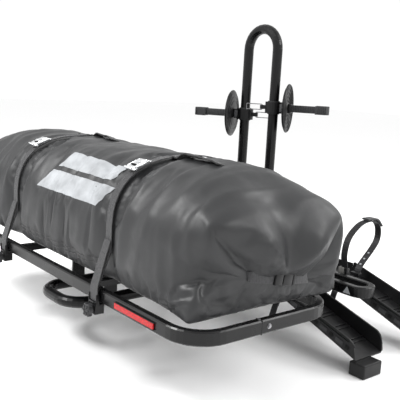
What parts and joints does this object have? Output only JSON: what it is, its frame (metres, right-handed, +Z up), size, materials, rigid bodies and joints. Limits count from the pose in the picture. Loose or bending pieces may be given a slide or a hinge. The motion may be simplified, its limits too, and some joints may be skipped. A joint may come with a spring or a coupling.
{
  "type": "hitch cargo carrier",
  "caption": "Hitch rack with tilting bike platform, folding clamp mast and a cargo frame carrying a strapped roll-top bag.",
  "frame": {"origin": "centre of the hitch pin, in the hitch shank", "axes": "+Z up, +Y to the vehicle, +X to the rack's right end seen from behind"},
  "size_m": [1.345, 1.2503, 0.9241],
  "materials": {
    "frame_paint": "black powder coat, satin gloss",
    "shank_paint": "black powder coat",
    "zinc_steel": "zinc-plated steel",
    "chrome_buckle": "bright plated, a little worn",
    "tray_plastic": "black moulded plastic, fine grain",
    "black_plastic": "black moulded plastic",
    "grey_plastic": "dark grey moulded plastic",
    "strap_rubber": "black ladder strap, ridged",
    "red_reflector": "red prismatic reflector",
    "bag_fabric": "coated tarpaulin fabric, soft sheen",
    "webbing": "woven polyester webbing"
  },
  "bodies": {
    "hitch": {"hitch_shank": "shank_paint", "hitch_pin": "zinc_steel", "hitch_pin_clip": "zinc_steel", "tilt_bolt": "zinc_steel"},
    "platform": {"tilt_head": "frame_paint", "spine_loop": "frame_paint", "frame_riser_rear": "frame_paint", "frame_riser_front": "frame_paint", "cargo_frame_rear": "frame_paint", "cargo_frame_front": "frame_paint", "deck_bar_left": "frame_paint", "deck_bar_right": "frame_paint", "rear_reflector": "red_reflector", "tray_beam_rear": "tray_plastic", "tray_beam_front": "tray_plastic", "wheel_cradle_rear_left": "tray_plastic", "wheel_cradle_rear_right": "tray_plastic", "wheel_cradle_front_left": "tray_plastic", "wheel_cradle_front_right": "tray_plastic", "tray_end_cap_rear_left": "tray_plastic", "tray_end_cap_rear_right": "tray_plastic", "tray_end_cap_front_left": "tray_plastic", "tray_end_cap_front_right": "tray_plastic", "wheel_strap_rear_left": "strap_rubber", "wheel_strap_rear_right": "strap_rubber", "wheel_strap_front_left": "strap_rubber", "wheel_strap_front_right": "strap_rubber", "mast_support_loop": "frame_paint", "mast_bracket_left": "frame_paint", "mast_bracket_right": "frame_paint", "mast_pivot_bolt": "zinc_steel", "cargo_bag": "bag_fabric", "cargo_strap_left": "webbing", "cargo_strap_right": "webbing", "cam_buckle_left": "chrome_buckle", "cam_buckle_right": "chrome_buckle", "strap_anchor_left": "black_plastic", "strap_anchor_right": "black_plastic"},
    "tilt_release": {"tilt_release_pin": "black_plastic"},
    "mast": {"mast_hoop": "frame_paint"},
    "left_clamp_slider": {"left_clamp_sleeve": "grey_plastic"},
    "left_clamp": {"left_clamp_collar": "black_plastic", "left_clamp_disc": "black_plastic", "left_clamp_strap": "grey_plastic", "left_clamp_grip": "grey_plastic"},
    "left_bail": {"left_clamp_bail": "zinc_steel"},
    "right_clamp_slider": {"right_clamp_sleeve": "grey_plastic"},
    "right_clamp": {"right_clamp_collar": "black_plastic", "right_clamp_disc": "black_plastic", "right_clamp_strap": "grey_plastic", "right_clamp_grip": "grey_plastic"},
    "right_bail": {"right_clamp_bail": "zinc_steel"},
    "wheel_buckle_rear_left": {"wheel_buckle_rear_left": "grey_plastic"},
    "wheel_buckle_rear_right": {"wheel_buckle_rear_right": "grey_plastic"},
    "wheel_buckle_front_left": {"wheel_buckle_front_left": "grey_plastic"},
    "wheel_buckle_front_right": {"wheel_buckle_front_right": "grey_plastic"},
    "cam_lever_left": {"cam_lever_left": "chrome_buckle"},
    "strap_knob_left": {"strap_knob_left": "grey_plastic"},
    "cam_lever_right": {"cam_lever_right": "chrome_buckle"},
    "strap_knob_right": {"strap_knob_right": "grey_plastic"}
  },
  "joints": [
    {"name": "platform_tilt", "type": "hinge", "parent": "hitch", "child": "platform", "pos_m": [0, -0.12, 0], "axis": [1, 0, 0], "range_deg": [-90, 25]},
    {"name": "tilt_release_pull", "type": "slide", "parent": "platform", "child": "tilt_release", "axis": [1, 0, 0], "range_m": [0, 0.012], "stiffness_N_per_m": 400, "springref_m": -0.004},
    {"name": "mast_fold", "type": "hinge", "parent": "platform", "child": "mast", "pos_m": [0, -0.383, 0.102], "axis": [1, 0, 0], "range_deg": [-55, 0]},
    {"name": "left_clamp_slide", "type": "slide", "parent": "mast", "child": "left_clamp_slider", "axis": [0, 0, 1], "range_m": [-0.15, 0]},
    {"name": "left_clamp_swivel", "type": "hinge", "parent": "left_clamp_slider", "child": "left_clamp", "pos_m": [-0.066, -0.383, 0.521], "axis": [0, 0, 1], "range_deg": [-25, 25]},
    {"name": "left_bail_turn", "type": "hinge", "parent": "left_clamp", "child": "left_bail", "pos_m": [-0.03377, -0.36286, 0.521], "axis": [0, 0, 1], "range_deg": [-60, 60]},
    {"name": "right_clamp_slide", "type": "slide", "parent": "mast", "child": "right_clamp_slider", "axis": [0, 0, 1], "range_m": [0, 0.15]},
    {"name": "right_clamp_swivel", "type": "hinge", "parent": "right_clamp_slider", "child": "right_clamp", "pos_m": [0.066, -0.383, 0.551], "axis": [0, 0, 1], "range_deg": [-25, 25]},
    {"name": "right_bail_turn", "type": "hinge", "parent": "right_clamp", "child": "right_bail", "pos_m": [0.03377, -0.40314, 0.551], "axis": [0, 0, 1], "range_deg": [-60, 60]},
    {"name": "wheel_buckle_lift_rear_left", "type": "hinge", "parent": "platform", "child": "wheel_buckle_rear_left", "pos_m": [-0.345, -0.4855, 0.2235], "axis": [1, 0, 0], "range_deg": [0, 60]},
    {"name": "wheel_buckle_lift_rear_right", "type": "hinge", "parent": "platform", "child": "wheel_buckle_rear_right", "pos_m": [0.345, -0.4855, 0.2235], "axis": [1, 0, 0], "range_deg": [0, 60]},
    {"name": "wheel_buckle_lift_front_left", "type": "hinge", "parent": "platform", "child": "wheel_buckle_front_left", "pos_m": [-0.345, -0.2225, 0.2235], "axis": [1, 0, 0], "range_deg": [0, 60]},
    {"name": "wheel_buckle_lift_front_right", "type": "hinge", "parent": "platform", "child": "wheel_buckle_front_right", "pos_m": [0.345, -0.2225, 0.2235], "axis": [1, 0, 0], "range_deg": [0, 60]},
    {"name": "cam_lever_lift_left", "type": "hinge", "parent": "platform", "child": "cam_lever_left", "pos_m": [-0.265, -1.02955, 0.43142], "axis": [1, 0, 0], "range_deg": [-70, 0]},
    {"name": "strap_knob_turn_left", "type": "hinge", "parent": "platform", "child": "strap_knob_left", "pos_m": [-0.265, -1.1623, 0.0725], "axis": [0, -1, 0], "continuous": true},
    {"name": "cam_lever_lift_right", "type": "hinge", "parent": "platform", "child": "cam_lever_right", "pos_m": [0.265, -1.02955, 0.43142], "axis": [1, 0, 0], "range_deg": [-70, 0]},
    {"name": "strap_knob_turn_right", "type": "hinge", "parent": "platform", "child": "strap_knob_right", "pos_m": [0.265, -1.1623, 0.0725], "axis": [0, -1, 0], "continuous": true}
  ]
}
